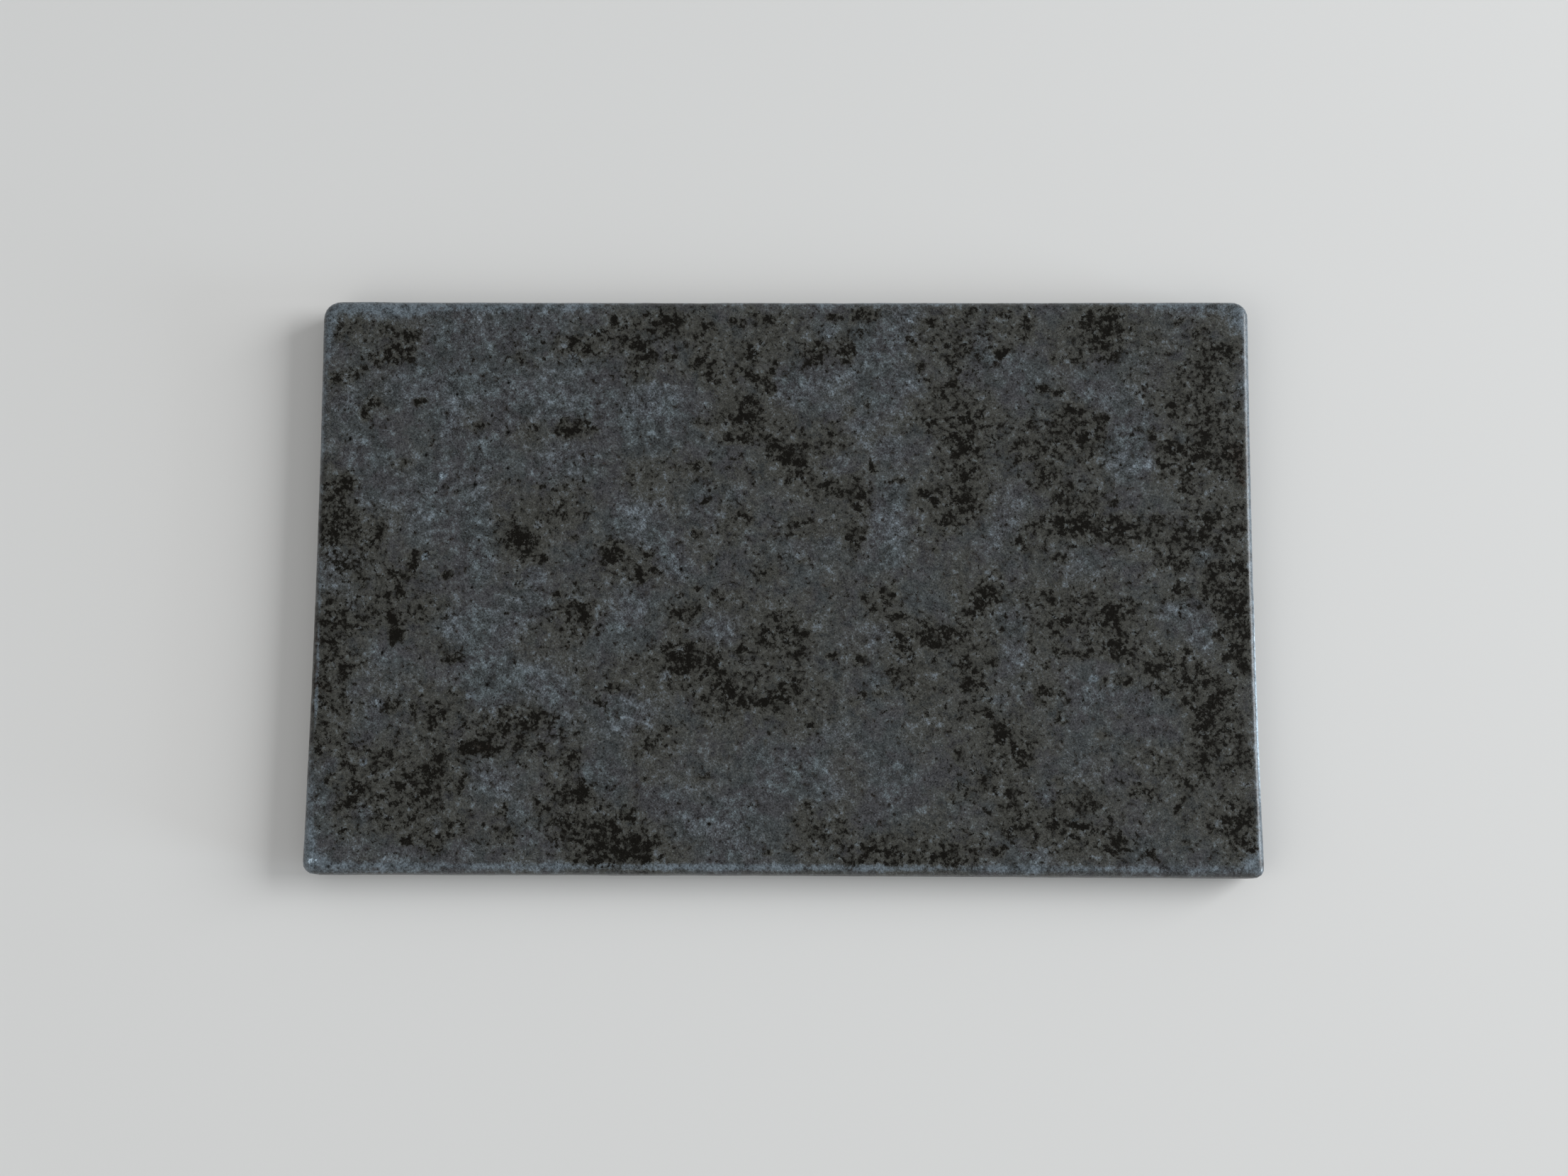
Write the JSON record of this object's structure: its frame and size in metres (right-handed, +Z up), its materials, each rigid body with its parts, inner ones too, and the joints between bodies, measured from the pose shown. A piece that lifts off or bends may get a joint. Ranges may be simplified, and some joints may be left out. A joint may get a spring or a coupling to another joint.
{
  "type": "granite slab",
  "caption": "Thin rectangular stone slab with eased edges on low stick-on rubber feet, a hard flat surface for punching, stamping and skiving leather.",
  "frame": {"origin": "on the bench under the middle of the slab, level with the bottoms of the feet", "axes": "+X along the slab to its right end, +Y across it to its back, +Z up out of the working face"},
  "size_m": [0.2998, 0.185, 0.0128],
  "materials": {
    "mottled_stone": "honed, satin-matt, mottled grey with near-black iron specks and pale blue-grey clouds",
    "black_rubber": "matt moulded rubber",
    "adhesive_foam": "matt grey foam tape"
  },
  "bodies": {
    "root": {"slab": "mottled_stone", "foot_front_left": "black_rubber", "foot_front_right": "black_rubber", "foot_back_right": "black_rubber", "foot_back_left": "black_rubber", "adhesive_disc_front_left": "adhesive_foam", "adhesive_disc_front_right": "adhesive_foam", "adhesive_disc_back_right": "adhesive_foam", "adhesive_disc_back_left": "adhesive_foam"}
  },
  "joints": []
}
